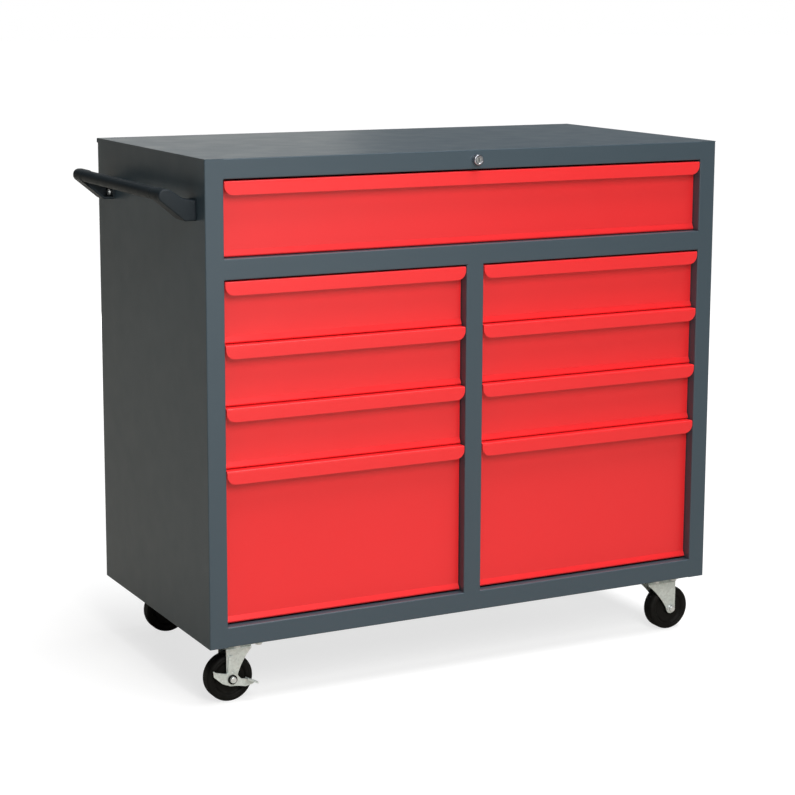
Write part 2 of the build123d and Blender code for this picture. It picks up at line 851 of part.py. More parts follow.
# Corner names: front or rear, left or right. Two casters on one diagonal carry brakes.
plates = []
bolts = []
for corner, (x, y) in zip(("front_left", "front_right", "rear_left", "rear_right"), kingpins()):
    braked = corner in braked_corners
    trails_left = corner in left_trailing_corners
    plates += [caster_plate(x, y), caster_kingpin(x, y)]
    bolts += [caster_bolt(bx, by) for bx, by in bolt_places(x, y)]
    fork = fork_shape(braked_lead if braked else plain_lead)
    place_and_save(f"fork_{corner}", at_kingpin(fork, x, y, trails_left))
    place_and_save(f"wheel_{corner}", at_kingpin(wheel_shape(), x, y, trails_left))
    place_and_save(f"axle_{corner}", at_kingpin(axle_shape(braked), x, y, trails_left))
    if braked:
        lever = at_kingpin(lever_shape(), x, y, trails_left)
        place_and_save(f"brake_lever_{corner}", lever)
place_and_save("caster_plates", plates)
place_and_save("caster_bolts", bolts)
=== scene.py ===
import json
import math
import bmesh
import bpy
import numpy as np
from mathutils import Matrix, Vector

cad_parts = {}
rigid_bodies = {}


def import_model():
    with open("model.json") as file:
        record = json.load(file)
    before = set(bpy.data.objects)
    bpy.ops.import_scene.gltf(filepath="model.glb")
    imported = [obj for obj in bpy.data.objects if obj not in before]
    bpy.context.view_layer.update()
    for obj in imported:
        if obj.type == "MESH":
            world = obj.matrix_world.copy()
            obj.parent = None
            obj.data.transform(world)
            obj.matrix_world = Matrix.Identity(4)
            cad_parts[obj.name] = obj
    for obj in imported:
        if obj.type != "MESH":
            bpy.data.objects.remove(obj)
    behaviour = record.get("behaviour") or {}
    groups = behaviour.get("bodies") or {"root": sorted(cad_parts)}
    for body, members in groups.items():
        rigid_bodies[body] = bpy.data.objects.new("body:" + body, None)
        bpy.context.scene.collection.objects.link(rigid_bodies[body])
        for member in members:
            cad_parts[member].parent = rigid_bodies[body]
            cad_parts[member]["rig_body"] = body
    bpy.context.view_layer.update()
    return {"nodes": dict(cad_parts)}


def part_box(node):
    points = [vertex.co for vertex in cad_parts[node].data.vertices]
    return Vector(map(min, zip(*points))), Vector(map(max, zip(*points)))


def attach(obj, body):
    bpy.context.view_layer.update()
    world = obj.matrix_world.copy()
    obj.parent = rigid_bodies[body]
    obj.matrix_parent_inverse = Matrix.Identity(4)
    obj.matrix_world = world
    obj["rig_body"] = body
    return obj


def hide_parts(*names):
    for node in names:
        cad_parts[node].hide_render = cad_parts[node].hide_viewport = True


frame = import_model()
print("frame loaded:", len(frame["nodes"]), "nodes")

# Measures read from the frame.
bodyLow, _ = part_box("left_side_panel")
corner = np.array([bodyLow.x, bodyLow.y, bodyLow.z])  # the body's front left lower corner
mm = 0.001


# Millimetres from the body's corner, as the frame's metres.
def inFrame(points):
    return np.asarray(points, float) * mm + corner


# The middle of a node's box, in millimetres from the body's corner.
def nodeMiddle(nodeName):
    low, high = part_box(nodeName)
    return ((np.array(low) + np.array(high)) / 2 - corner) / mm


def nodesNamed(start):
    return [name for name in frame["nodes"] if name.startswith(start)]


# A corner's name as it stands inside a piece's name: front_left becomes FrontLeft.
def joinedName(cornerName):
    return cornerName.title().replace("_", "")


def linkObject(name, data):
    thing = bpy.data.objects.new(name, data)
    bpy.context.scene.collection.objects.link(thing)
    return thing


# Camera.
cameraLook = {
    "place": (-1.85506, -3.61305, 1.28876),
    "tilt": (80.0626, -0.3607, -28.1769),  # degrees about X, Y, Z
    "lens": 95.13,
    "sensor": 36.0,
    "shiftX": -0.0409,
    "shiftY": -0.0597,
    "farClip": 100.0,
}


def makeCamera(look):
    data = bpy.data.cameras.new("studioCamera")
    data.lens = look["lens"]
    data.sensor_width = look["sensor"]
    data.shift_x = look["shiftX"]
    data.shift_y = look["shiftY"]
    data.clip_end = look["farClip"]
    camera = linkObject("studioCamera", data)
    camera.location = look["place"]
    camera.rotation_euler = [math.radians(a) for a in look["tilt"]]
    bpy.context.scene.camera = camera


# Floor, world and lights.
studio = {
    "floorSize": 80.0,
    "floorColour": (0.35, 0.35, 0.35),
    "floorRoughness": 0.9,
    "floorGlow": 0.72,  # keeps the shadows on the floor pale
    "bounceColour": (0.44, 0.42, 0.375),  # what the floor gives back to the cabinet
    "roomColour": (0.90, 0.96, 1.0),
    "roomStrength": 0.03,
    "backdropStrength": 1.0,  # how bright the room looks straight behind the cabinet
    "overhead": {"strength": 2.8, "spread": 32.0, "from": (0.16, -0.20, 0.96)},
    "lamps": {
        # place, target, width, height, power, colour
        "frontSoftbox": ((-0.7, -3.0, 2.4), (-0.95, 0.0, 0.2), 1.3, 1.7, 78.0, (1.0, 0.985, 0.97)),
        "frontCard": ((0.35, -3.2, 0.65), (0.1, 0.0, 0.4), 1.8, 1.0, 8.0, (1.0, 0.99, 0.98)),
        "backSoftbox": ((0.7, 4.0, 1.7), (-0.2, 0.0, 0.9), 2.2, 1.4, 7.5, (1.0, 0.95, 0.86)),
        "horizonCard": ((2.6, 4.4, 1.3), (0.3, 0.0, 0.9), 5.5, 1.6, 14.5, (1.0, 1.0, 1.0)),
        "rearCard": ((0.9, 4.2, 0.45), (0.0, 0.0, 0.5), 2.4, 0.8, 34.0, (1.0, 1.0, 1.0)),
        "rightSoftbox": ((4.4, 1.6, 1.8), (0.0, 0.0, 0.5), 2.4, 2.0, 40.0, (0.98, 0.99, 1.0)),
    },
}


# The room is white to the camera and a dimmer fill to everything else.
def makeRoom(look):
    world = bpy.data.worlds.new("paleRoom")
    world.use_nodes = True
    tree = world.node_tree
    fill = tree.nodes["Background"]
    fill.inputs["Color"].default_value = (*look["roomColour"], 1.0)
    fill.inputs["Strength"].default_value = look["roomStrength"]
    seen = tree.nodes.new("ShaderNodeBackground")
    seen.inputs["Strength"].default_value = look["backdropStrength"]
    seen.inputs["Color"].default_value = (1.0, 1.0, 1.0, 1.0)
    path = tree.nodes.new("ShaderNodeLightPath")
    pick = tree.nodes.new("ShaderNodeMixShader")
    tree.links.new(path.outputs["Is Camera Ray"], pick.inputs[0])
    tree.links.new(fill.outputs[0], pick.inputs[1])
    tree.links.new(seen.outputs[0], pick.inputs[2])
    tree.links.new(pick.outputs[0], tree.nodes["World Output"].inputs["Surface"])
    bpy.context.scene.world = world
    bpy.context.scene.view_settings.view_transform = "Standard"


# A flat sheet of pale floor; it bounces less light than it shows.
def makeFloor(look):
    half = look["floorSize"] / 2
    corners = np.array([[-1, -1, 0], [1, -1, 0], [1, 1, 0], [-1, 1, 0]]) * half
    mesh = bpy.data.meshes.new("paleFloor")
    mesh.from_pydata(corners.tolist(), [], [[0, 1, 2, 3]])
    floor = linkObject("paleFloor", mesh)
    finish = bpy.data.materials.new("paleFloorPaint")
    finish.use_nodes = True
    tree = finish.node_tree
    shader = tree.nodes["Principled BSDF"]
    shader.inputs["Base Color"].default_value = (*look["floorColour"], 1.0)
    shader.inputs["Roughness"].default_value = look["floorRoughness"]
    shader.inputs["Specular IOR Level"].default_value = 0.0
    shader.inputs["Emission Color"].default_value = (1.0, 1.0, 1.0, 1.0)
    shader.inputs["Emission Strength"].default_value = look["floorGlow"]
    bounce = tree.nodes.new("ShaderNodeBsdfDiffuse")
    bounce.inputs["Color"].default_value = (*look["bounceColour"], 1.0)
    path = tree.nodes.new("ShaderNodeLightPath")
    pick = tree.nodes.new("ShaderNodeMixShader")
    tree.links.new(path.outputs["Is Camera Ray"], pick.inputs[0])
    tree.links.new(bounce.outputs[0], pick.inputs[1])
    tree.links.new(shader.outputs[0], pick.inputs[2])
    tree.links.new(pick.outputs[0], tree.nodes["Material Output"].inputs["Surface"])
    mesh.materials.append(finish)


def makeLamps(look):
    sky = bpy.data.lights.new("overheadLight", "SUN")
    sky.energy = look["overhead"]["strength"]
    sky.angle = math.radians(look["overhead"]["spread"])
    overhead = linkObject("overheadLight", sky)
    overhead.rotation_euler = Vector(look["overhead"]["from"]).to_track_quat("Z", "Y").to_euler()
    for name, (place, target, width, height, power, colour) in look["lamps"].items():
        light = bpy.data.lights.new(name, "AREA")
        light.shape = "RECTANGLE"
        light.size = width
        light.size_y = height
        light.energy = power
        light.color = colour
        lamp = linkObject(name, light)
        lamp.location = place
        aim = Vector(target) - Vector(place)
        lamp.rotation_euler = aim.to_track_quat("-Z", "Y").to_euler()


makeCamera(cameraLook)
makeRoom(studio)
makeFloor(studio)
makeLamps(studio)
print("camera, floor and lights placed")


# Adds one node, sets its properties, and links or fills its named sockets.
def addNode(tree, kind, sockets=None, **settings):
    node = tree.nodes.new(kind)
    for key, value in settings.items():
        setattr(node, key, value)
    for key, value in (sockets or {}).items():
        if isinstance(value, bpy.types.NodeSocket):
            tree.links.new(value, node.inputs[key])
        else:
            node.inputs[key].default_value = value
    return node


def addMath(tree, operation, *values):
    return addNode(tree, "ShaderNodeMath", dict(enumerate(values)), operation=operation).outputs[0]


def addNoise(tree, place, scale, detail, roughness=0.5):
    sockets = {"Vector": place, "Scale": scale, "Detail": detail, "Roughness": roughness}
    return addNode(tree, "ShaderNodeTexNoise", sockets).outputs["Fac"]


# Blends two colours by a factor: a Mix node takes them in sockets 0, 6 and 7, and gives output 2.
def blendColours(tree, factor, first, second, **settings):
    sockets = {0: factor, 6: first, 7: second}
    return addNode(tree, "ShaderNodeMix", sockets, data_type="RGBA", **settings).outputs[2]


# Starts a node group with named inputs and outputs, and gives its tree, input node and output node.
def startGroup(name, inputs, outputs):
    tree = bpy.data.node_groups.new(name, "ShaderNodeTree")
    for label, kind in inputs:
        tree.interface.new_socket(label, in_out="INPUT", socket_type=kind)
    for label, kind in outputs:
        tree.interface.new_socket(label, in_out="OUTPUT", socket_type=kind)
    return tree, tree.nodes.new("NodeGroupInput"), tree.nodes.new("NodeGroupOutput")


skinOutputs = [
    ("Colour", "NodeSocketColor"),
    ("Roughness", "NodeSocketFloat"),
    ("Height", "NodeSocketFloat"),
]

powderSkin = {"driftScale": 3.0, "finerBy": 3.1, "finerShare": 0.3, "wanderScale": 22.0}


# Sprayed powder coat: a broad drift between two close shades, a fine orange-peel relief made of
# two noises added together, and a roughness that wanders a little with a middle-sized noise.
def makePowderSkin(look):
    tree, inlet, outlet = startGroup(
        "powderSkin",
        [
            ("Vector", "NodeSocketVector"),
            ("Colour", "NodeSocketColor"),
            ("Shade", "NodeSocketColor"),
            ("Peel Scale", "NodeSocketFloat"),
            ("Roughness", "NodeSocketFloat"),
            ("Spread", "NodeSocketFloat"),
        ],
        skinOutputs,
    )
    place = inlet.outputs["Vector"]
    drift = addNoise(tree, place, look["driftScale"], detail=3.0)
    colour = blendColours(tree, drift, inlet.outputs["Colour"], inlet.outputs["Shade"])
    peelScale = inlet.outputs["Peel Scale"]
    peel = addNoise(tree, place, peelScale, detail=1.0)
    finer = addMath(tree, "MULTIPLY", peelScale, look["finerBy"])
    grain = addNoise(tree, place, finer, detail=0.0)
    relief = addMath(tree, "MULTIPLY_ADD", grain, look["finerShare"], peel)
    wander = addNoise(tree, place, look["wanderScale"], detail=4.0)
    centred = addMath(tree, "SUBTRACT", wander, 0.5)
    spread, roughness = inlet.outputs["Spread"], inlet.outputs["Roughness"]
    rough = addMath(tree, "MULTIPLY_ADD", centred, spread, roughness)
    tree.links.new(colour, outlet.inputs["Colour"])
    tree.links.new(rough, outlet.inputs["Roughness"])
    tree.links.new(relief, outlet.inputs["Height"])
    return tree


platedSkin = {"cloudScale": 60.0, "scratchScale": (900.0, 900.0, 40.0), "roughnessShare": 0.12}


# Plated steel: cells of slightly different tone like zinc spangle, a cloudy tint between them,
# and fine rolling scratches drawn out along one direction.
def makePlatedSkin(look):
    tree, inlet, outlet = startGroup(
        "platedSkin",
        [
            ("Vector", "NodeSocketVector"),
            ("Colour", "NodeSocketColor"),
            ("Tint", "NodeSocketColor"),
            ("Spangle Scale", "NodeSocketFloat"),
            ("Spangle Strength", "NodeSocketFloat"),
            ("Roughness", "NodeSocketFloat"),
        ],
        skinOutputs,
    )
    place = inlet.outputs["Vector"]
    cellSockets = {"Vector": place, "Scale": inlet.outputs["Spangle Scale"]}
    cells = addNode(tree, "ShaderNodeTexVoronoi", cellSockets)
    tone = addNode(tree, "ShaderNodeSeparateColor", {"Color": cells.outputs["Color"]})
    clouds = addNoise(tree, place, look["cloudScale"], detail=4.0)
    tinted = blendColours(tree, clouds, inlet.outputs["Colour"], inlet.outputs["Tint"])
    spread = addMath(tree, "MULTIPLY", tone.outputs["Red"], inlet.outputs["Spangle Strength"])
    keep = addMath(tree, "SUBTRACT", 1.0, spread)
    shaded = blendColours(tree, 1.0, tinted, keep, blend_type="MULTIPLY")
    stretched = addNode(tree, "ShaderNodeMapping", {"Vector": place, "Scale": look["scratchScale"]})
    scratches = addNoise(tree, stretched.outputs[0], 1.0, detail=2.0)
    roughness = inlet.outputs["Roughness"]
    uneven = addMath(tree, "MULTIPLY_ADD", tone.outputs["Green"], look["roughnessShare"], roughness)
    tree.links.new(shaded, outlet.inputs["Colour"])
    tree.links.new(uneven, outlet.inputs["Roughness"])
    tree.links.new(scratches, outlet.inputs["Height"])
    return tree


mouldedSkin = {"scuffScale": 45.0, "scuffRange": (0.5, 0.75), "roughnessShare": 0.15}


# Moulded black plastic or hard rubber: a leather-like grain from small cells, scuffs that lift the
# colour a little where a stretched noise is high, and a roughness that follows the scuffs.
def makeMouldedSkin(look):
    tree, inlet, outlet = startGroup(
        "mouldedSkin",
        [
            ("Vector", "NodeSocketVector"),
            ("Colour", "NodeSocketColor"),
            ("Scuff", "NodeSocketColor"),
            ("Grain Scale", "NodeSocketFloat"),
            ("Roughness", "NodeSocketFloat"),
        ],
        skinOutputs,
    )
    place = inlet.outputs["Vector"]
    grainSockets = {"Vector": place, "Scale": inlet.outputs["Grain Scale"]}
    grain = addNode(tree, "ShaderNodeTexVoronoi", grainSockets, feature="SMOOTH_F1")
    scuffs = addNoise(tree, place, look["scuffScale"], detail=6.0, roughness=0.65)
    least, most = look["scuffRange"]
    rubbed = addNode(
        tree,
        "ShaderNodeMapRange",
        {"Value": scuffs, "From Min": least, "From Max": most, "To Min": 0.0, "To Max": 1.0},
    ).outputs[0]
    colour = blendColours(tree, rubbed, inlet.outputs["Colour"], inlet.outputs["Scuff"])
    roughness = inlet.outputs["Roughness"]
    rough = addMath(tree, "MULTIPLY_ADD", rubbed, look["roughnessShare"], roughness)
    tree.links.new(colour, outlet.inputs["Colour"])
    tree.links.new(rough, outlet.inputs["Roughness"])
    tree.links.new(grain.outputs["Distance"], outlet.inputs["Height"])
    return tree


skins = {
    "powder": makePowderSkin(powderSkin),
    "plated": makePlatedSkin(platedSkin),
    "moulded": makeMouldedSkin(mouldedSkin),
}

# Each finish: its skin group with that group's values, then the shader's own constants and the
# depth of its relief in metres.
finishes = {
    "greyPaint": {
        "slot": "grey_paint",
        "skin": "powder",
        "values": {
            "Colour": (0.045, 0.070, 0.090, 1),
            "Shade": (0.050, 0.077, 0.098, 1),
            "Peel Scale": 420.0,
            "Roughness": 0.40,
            "Spread": 0.12,
        },
        "metallic": 0.0,
        "specular": 0.5,
        "relief": 0.00004,
    },
    "redPaint": {
        "slot": "red_paint",
        "skin": "powder",
        "values": {
            "Colour": (0.87, 0.025, 0.029, 1),
            "Shade": (0.83, 0.021, 0.025, 1),
            "Peel Scale": 420.0,
            "Roughness": 0.36,
            "Spread": 0.10,
        },
        "metallic": 0.0,
        "specular": 0.5,
        "relief": 0.00003,
    },
    "trayPaint": {
        "slot": "tray_paint",
        "skin": "powder",
        "values": {
            "Colour": (0.075, 0.082, 0.090, 1),
            "Shade": (0.088, 0.095, 0.104, 1),
            "Peel Scale": 500.0,
            "Roughness": 0.48,
            "Spread": 0.15,
        },
        "metallic": 0.0,
        "specular": 0.5,
        "relief": 0.00004,
    },
    "zincRail": {
        "slot": "zinc_rail",
        "skin": "plated",
        "values": {
            "Colour": (0.56, 0.58, 0.60, 1),
            "Tint": (0.48, 0.50, 0.50, 1),
            "Spangle Scale": 130.0,
            "Spangle Strength": 0.12,
            "Roughness": 0.30,
        },
        "metallic": 1.0,
        "specular": 0.5,
        "relief": 0.000008,
    },
    "zincPressing": {
        "slot": "zinc_pressing",
        "skin": "plated",
        "values": {
            "Colour": (0.84, 0.90, 0.89, 1),
            "Tint": (0.68, 0.75, 0.72, 1),
            "Spangle Scale": 260.0,
            "Spangle Strength": 0.16,
            "Roughness": 0.30,
        },
        "metallic": 0.55,
        "specular": 0.5,
        "relief": 0.00001,
    },
    "zincFastener": {
        "slot": "zinc_fastener",
        "skin": "plated",
        "values": {
            "Colour": (0.80, 0.83, 0.83, 1),
            "Tint": (0.68, 0.71, 0.70, 1),
            "Spangle Scale": 700.0,
            "Spangle Strength": 0.08,
            "Roughness": 0.30,
        },
        "metallic": 0.6,
        "specular": 0.5,
        "relief": 0.000006,
    },
    "wheelBlack": {
        "slot": "wheel_black",
        "skin": "moulded",
        "values": {
            "Colour": (0.008, 0.0078, 0.007, 1),
            "Scuff": (0.016, 0.0155, 0.014, 1),
            "Grain Scale": 900.0,
            "Roughness": 0.46,
        },
        "metallic": 0.0,
        "specular": 0.10,
        "relief": 0.00002,
    },
    "handleBlack": {
        "slot": "handle_black",
        "skin": "moulded",
        "values": {
            "Colour": (0.010, 0.016, 0.021, 1),
            "Scuff": (0.016, 0.022, 0.028, 1),
            "Grain Scale": 1100.0,
            "Roughness": 0.56,
        },
        "metallic": 0.0,
        "specular": 0.3,
        "relief": 0.00003,
    },
    "lockChrome": {
        "slot": "lock_chrome",
        "skin": "plated",
        "values": {
            "Colour": (0.44, 0.45, 0.49, 1),
            "Tint": (0.38, 0.39, 0.43, 1),
            "Spangle Scale": 900.0,
            "Spangle Strength": 0.03,
            "Roughness": 0.24,
        },
        "metallic": 1.0,
        "specular": 0.5,
        "relief": 0.000002,
    },
    "lockSteel": {
        "slot": "lock_steel",
        "skin": "plated",
        "values": {
            "Colour": (0.50, 0.51, 0.52, 1),
            "Tint": (0.42, 0.43, 0.44, 1),
            "Spangle Scale": 500.0,
            "Spangle Strength": 0.10,
            "Roughness": 0.34,
        },
        "metallic": 1.0,
        "specular": 0.5,
        "relief": 0.000006,
    },
}


def makeFinish(name, look):
    material = bpy.data.materials.new(name)
    material.use_nodes = True
    tree = material.node_tree
    shader = tree.nodes["Principled BSDF"]
    place = tree.nodes.new("ShaderNodeTexCoord")
    skin = addNode(tree, "ShaderNodeGroup", node_tree=skins[look["skin"]])
    tree.links.new(place.outputs["Object"], skin.inputs["Vector"])
    for label, value in look["values"].items():
        skin.inputs[label].default_value = value
    bump = addNode(
        tree,
        "ShaderNodeBump",
        {"Height": skin.outputs["Height"], "Strength": 1.0, "Distance": look["relief"]},
    )
    tree.links.new(skin.outputs["Colour"], shader.inputs["Base Color"])
    tree.links.new(skin.outputs["Roughness"], shader.inputs["Roughness"])
    tree.links.new(bump.outputs["Normal"], shader.inputs["Normal"])
    shader.inputs["Metallic"].default_value = look["metallic"]
    shader.inputs["Specular IOR Level"].default_value = look["specular"]
    return material


materials = {name: makeFinish(name, look) for name, look in finishes.items()}


def setMaterial(piece, name):
    piece.data.materials.clear()
    piece.data.materials.append(materials[name])


# Finish of every node that comes straight from the frame; the start of its name is enough.
nodeFinishes = {
    "left_side_panel": "greyPaint",
    "right_side_panel": "greyPaint",
    "top_panel": "greyPaint",
    "bottom_panel": "greyPaint",
    "back_panel": "greyPaint",
    "mid_rail": "greyPaint",
    "centre_partition": "greyPaint",
    "body_stiffeners": "greyPaint",
    "drawer_front_": "redPaint",
    "drawer_tray_": "trayPaint",
    "drawer_runners_": "zincRail",
    "slide_outer_members": "zincRail",
    "lock_housing": "lockChrome",
    "lock_plug": "lockSteel",
    "lock_shaft": "lockSteel",
    "lock_bar": "lockSteel",
    "lock_fixings": "lockSteel",
    "handle_grip": "handleBlack",
    "handle_brackets": "handleBlack",
    "handle_screws": "zincFastener",
    "fork_": "zincPressing",
    "wheel_": "wheelBlack",
    "axle_": "zincFastener",
    "brake_lever_": "zincPressing",
    "caster_plates": "zincPressing",
    "caster_bolts": "zincFastener",
}

for start, finishName in nodeFinishes.items():
    for nodeName in nodesNamed(start):
        setMaterial(frame["nodes"][nodeName], finishName)
print("finishes given to all nodes")

# A polyline with its corners rounded: each corner gives way to an arc that touches both of its
# runs, found as the arc's centre plus a blend, by sines, of the two radii that end it.
def roundedPath(corners, radii, steps=6, closed=False):
    corners = np.asarray(corners, float)
    points = []
    for i, radius in enumerate(radii):
        if radius == 0 or (not closed and i in (0, len(radii) - 1)):
            points.append(corners[i][None])
            continue
        back = corners[i - 1] - corners[i]
        ahead = corners[(i + 1) % len(corners)] - corners[i]
        back /= np.linalg.norm(back)
        ahead /= np.linalg.norm(ahead)
        half = math.acos(np.clip(back @ ahead, -1, 1)) / 2
        middle = back + ahead
        centre = corners[i] + middle / np.linalg.norm(middle) * radius / math.sin(half)
        first = corners[i] + back * radius / math.tan(half) - centre
        last = corners[i] + ahead * radius / math.tan(half) - centre
        turn = math.pi - 2 * half
        share = np.linspace(0, 1, steps + 1)[:, None]
        arc = np.sin((1 - share) * turn) * first + np.sin(share * turn) * last
        points.append(centre + arc / math.sin(turn))
    return np.vstack(points)


# The same closed polygon moved inwards: each corner shifts along the sum of its two edge normals,
# divided by one plus their dot product, so that every edge moves by the inset.
def insetCorners(corners, inset):
    corners = np.asarray(corners, float)
    edge = np.roll(corners, -1, axis=0) - corners
    edge /= np.linalg.norm(edge, axis=1)[:, None]
    normal = np.stack([edge[:, 1], -edge[:, 0]], axis=1)
    before = np.roll(normal, 1, axis=0)
    shift = (before + normal) / (1 + (before * normal).sum(1))[:, None]
    return corners + shift * inset


# Faces of a grid of points, rows by columns: each face joins four neighbours. The grid may close
# round on its rows or columns, and a first or last row may be closed by one many-sided face.
def gridShell(grid, wrapRows=False, wrapColumns=False, capEnds=False, outwards=True):
    rows, columns = grid.shape[:2]
    index = np.arange(rows * columns).reshape(rows, columns)
    if wrapColumns:
        index = np.concatenate([index, index[:, :1]], axis=1)
    if wrapRows:
        index = np.concatenate([index, index[:1]], axis=0)
    neighbours = [index[:-1, :-1], index[:-1, 1:], index[1:, 1:], index[1:, :-1]]
    quads = np.stack(neighbours, axis=-1).reshape(-1, 4)
    points = grid.reshape(-1, 3)
    faces = quads.tolist()
    if capEnds:
        faces.append(list(range(columns))[::-1])
        faces.append(list(range((rows - 1) * columns, rows * columns)))
    if outwards:
        # six times the enclosed volume: the sum of a . (b x c) over two triangles of each quad
        a, b, c, d = (points[quads[:, k]] - points.mean(0) for k in range(4))
        volume = (a * (np.cross(b, c) + np.cross(c, d))).sum()
        if volume < 0:
            faces = [face[::-1] for face in faces]
    return points, faces


# A profile of (radius, distance along the axis) turned about a line along Y: x and z are the radius
# times the cosine and sine of the turn.
def turned(profile, centre, segments):
    profile = np.asarray(profile, float)
    angle = np.linspace(0, 2 * math.pi, segments, endpoint=False)
    radius = profile[:, 0][None, :]
    grid = np.stack(
        [
            centre[0] + radius * np.cos(angle)[:, None],
            centre[1] + np.broadcast_to(profile[:, 1], (segments, len(profile))),
            centre[2] + radius * np.sin(angle)[:, None],
        ],
        axis=-1,
    )
    return gridShell(grid, wrapRows=True, wrapColumns=True)


# Puts shells given in millimetres from the body's corner into one mesh, and the mesh on its body.
def makePiece(name, shells, finish, body, replaced, creaseAngle, edgeRadius=0.0, wall=0.0):
    count = 0
    points, faces = [], []
    for shellPoints, shellFaces in shells:
        points.append(shellPoints)
        faces += [[i + count for i in face] for face in shellFaces]
        count += len(shellPoints)
    mesh = bpy.data.meshes.new(name)
    mesh.from_pydata(inFrame(np.vstack(points)).tolist(), [], faces)
    mesh.update()
    return dressPiece(name, mesh, finish, body, replaced, creaseAngle, edgeRadius, wall)


def dressPiece(name, mesh, finish, body, replaced, creaseAngle, edgeRadius, wall=0.0):
    piece = linkObject(name, mesh)
    mesh.shade_smooth()
    if wall:
        sheet = piece.modifiers.new("sheetWall", "SOLIDIFY")
        sheet.thickness = wall * mm
        sheet.offset = -1.0
        sheet.use_even_offset = True
    if edgeRadius:
        soft = piece.modifiers.new("softEdges", "BEVEL")
        soft.width = edgeRadius * mm
        soft.segments = 2
        soft.limit_method = "ANGLE"
        soft.angle_limit = math.radians(creaseAngle)
        soft.harden_normals = True
        soft.use_clamp_overlap = True
    else:
        mesh.set_sharp_from_angle(angle=math.radians(creaseAngle))
    setMaterial(piece, finish)
    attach(piece, body)
    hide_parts(*replaced)
    return piece


# A copy of a frame node: its loose triangles joined, its flat areas made whole, its edges rounded.
def softenNode(nodeName, finish, edgeRadius, look):
    source = frame["nodes"][nodeName]
    name = nodeName + "_soft"
    mesh = source.data.copy()
    mesh.name = name
    for layer in ("custom_normal", "sharp_edge", "sharp_face"):
        if layer in mesh.attributes:
            mesh.attributes.remove(mesh.attributes[layer])
    shape = bmesh.new()
    shape.from_mesh(mesh)
    bmesh.ops.remove_doubles(shape, verts=shape.verts, dist=look["joinWithin"])
    flat = math.radians(look["flatWithin"])
    bmesh.ops.dissolve_limit(shape, angle_limit=flat, verts=shape.verts, edges=shape.edges)
    shape.to_mesh(mesh)
    shape.free()
    body, crease = source["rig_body"], look["creaseAngle"]
    return dressPiece(name, mesh, finish, body, [nodeName], crease, edgeRadius)


# Drawer fronts.
drawerFront = {
    "sheet": 1.2,
    "recess": 21.0,  # face behind the front of the posts
    "pullDrop": 24.5,
    "pullCorner": 17.0,
    "cornerSteps": 11,
    "pullSteps": 5,
    "flareUp": 10.5,
    "flareOut": 5.5,
    "faceBends": [0, 1.8, 3.0, 1.6, 0],  # radii from the return under the flare up to the top
    "topRun": 4.0,  # flat top left behind the pull's bend
    "bend": 3.0,
    "wingGap": 0.6,  # side wings start this far behind the face
    "edge": 0.4,
    "creaseAngle": 50,
}


# The front is one section carried along X. The section runs from the return under the flare, up the
# face, forward over the top and down the pull. Near each end the pull's lower edge rises on a
# quarter circle: drop = pullDrop - r + sqrt(r^2 - (r - distance from the end)^2).
def makeDrawerFront(number, look):
    low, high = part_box(f"drawer_front_{number}")
    left, _, bottom = (np.array(low) - corner) / mm
    right, back, top = (np.array(high) - corner) / mm
    recess, drop, radius = look["recess"], look["pullDrop"], look["pullCorner"]
    section = roundedPath(
        [
            (back, bottom),
            (recess - look["flareOut"], bottom),
            (recess, bottom + look["flareUp"]),
            (recess, top),
            (0.0, top),
        ],
        look["faceBends"],
    )
    overCorners = [(recess - look["topRun"], top), (0.0, top), (0.0, top - drop)]
    over = roundedPath(overCorners, [0, look["bend"], 0])
    section = np.vstack([section[:-1], over[:-1]])
    quarter = radius * (1 - np.cos(np.linspace(0, math.pi / 2, look["cornerSteps"])))
    across = np.concatenate([left + quarter, right - quarter[::-1]])
    fromEnd = np.minimum(np.minimum(across - left, right - across), radius)
    lipLow = top - drop + radius - np.sqrt(radius**2 - (radius - fromEnd) ** 2)
    rows = np.broadcast_to(section[:, None, :], (len(section), len(across), 2))
    lipTop = top - look["bend"]
    share = np.linspace(0, 1, look["pullSteps"] + 1)[1:, None]
    lipHeight = lipTop - share * (lipTop - lipLow)
    lip = np.stack([np.zeros(lipHeight.shape), lipHeight], axis=-1)
    rows = np.vstack([rows, lip])
    grid = np.stack([np.broadcast_to(across, rows.shape[:2]), rows[..., 0], rows[..., 1]], axis=-1)
    shells = [gridShell(grid[::-1], outwards=False)]
    depth = np.array([recess + look["wingGap"], back])
    height = np.array([bottom + look["flareUp"], top - drop])
    for x, turn in ((left, 1), (right, -1)):
        wing = np.stack(
            [
                np.full((2, 2), x),
                np.broadcast_to(depth[:, None], (2, 2)),
                np.broadcast_to(height[None, :], (2, 2)),
            ],
            axis=-1,
        )
        shells.append(gridShell(wing[::turn], outwards=False))
    makePiece(
        f"drawerFront{number}",
        shells,
        "redPaint",
        f"drawer_{number}",
        [f"drawer_front_{number}"],
        creaseAngle=look["creaseAngle"],
        edgeRadius=look["edge"],
        wall=look["sheet"],
    )


for number in range(1, len(nodesNamed("drawer_front_")) + 1):
    makeDrawerFront(number, drawerFront)
print("drawer fronts made")

